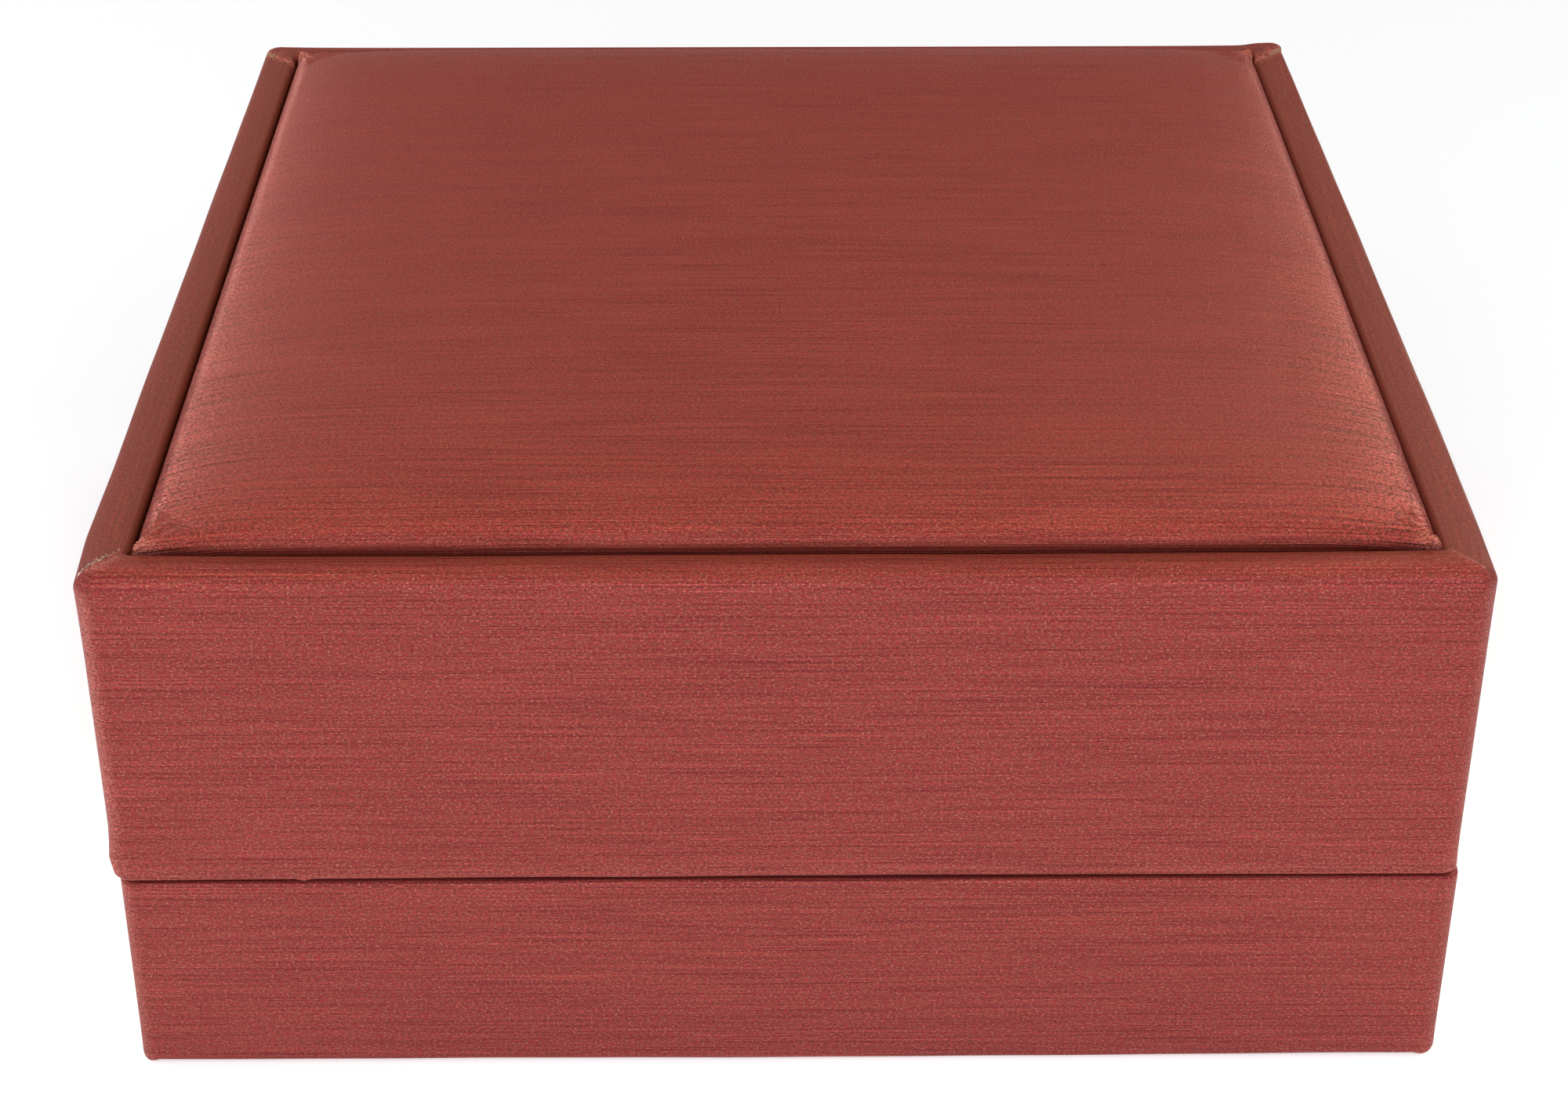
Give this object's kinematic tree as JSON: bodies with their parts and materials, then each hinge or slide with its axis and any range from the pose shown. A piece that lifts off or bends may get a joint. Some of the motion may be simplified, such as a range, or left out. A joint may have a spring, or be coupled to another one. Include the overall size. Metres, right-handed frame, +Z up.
{
  "type": "necklace box",
  "caption": "Square hinged necklace box covered in brushed red leatherette paper, with a domed padded panel in the lid's rim, a velvet collar and a lift-out necklace pad.",
  "frame": {"origin": "centre of the underside sheet, on the surface that the box stands on", "axes": "+Z up, the front faces -Y, the hinges are on the +Y side, +X to the right seen from the front"},
  "size_m": [0.1, 0.1012, 0.0474],
  "materials": {
    "leatherette": "brushed, metallic sheen",
    "shell_plastic": "moulded",
    "underside_paper": "matt",
    "velvet": "flocked",
    "satin": "satin weave",
    "card": "uncoated",
    "foam": "open cell",
    "hinge_steel": "bright nickel"
  },
  "bodies": {
    "base": {"base_shell": "shell_plastic", "base_wrap": "leatherette", "underside_sheet": "underside_paper", "floor_lining": "velvet", "collar_front": "velvet", "collar_back": "velvet", "collar_left": "velvet", "collar_right": "velvet", "hinge_base_leaf_left": "hinge_steel", "hinge_base_leaf_right": "hinge_steel", "hinge_pin_left": "hinge_steel", "hinge_pin_right": "hinge_steel", "hinge_spring_left": "hinge_steel", "hinge_spring_right": "hinge_steel", "base_rivet_left_1": "hinge_steel", "base_rivet_left_2": "hinge_steel", "base_rivet_left_3": "hinge_steel", "base_rivet_right_1": "hinge_steel", "base_rivet_right_2": "hinge_steel", "base_rivet_right_3": "hinge_steel"},
    "lid": {"lid_shell": "shell_plastic", "lid_wrap": "leatherette", "lid_panel_board": "card", "lid_panel_foam": "foam", "lid_panel_cover": "leatherette", "lid_ceiling_card": "card", "lid_ceiling_satin": "satin", "lid_strip_front": "satin", "lid_strip_back": "satin", "lid_strip_left": "satin", "lid_strip_right": "satin", "hinge_lid_leaf_left": "hinge_steel", "hinge_lid_leaf_right": "hinge_steel", "lid_rivet_left_1": "hinge_steel", "lid_rivet_left_2": "hinge_steel", "lid_rivet_right_1": "hinge_steel", "lid_rivet_right_2": "hinge_steel"},
    "necklace_pad": {"pad_board": "card", "pad_foam": "foam", "pad_velvet": "velvet"}
  },
  "joints": [
    {"name": "lid_hinge", "type": "hinge", "parent": "base", "child": "lid", "pos_m": [0, 0.05, 0.0178], "axis": [-1, 0, 0], "range_deg": [0, 95]},
    {"name": "pad_lift", "type": "slide", "parent": "base", "child": "necklace_pad", "axis": [0, 0, 1], "range_m": [0, 0.019]}
  ]
}
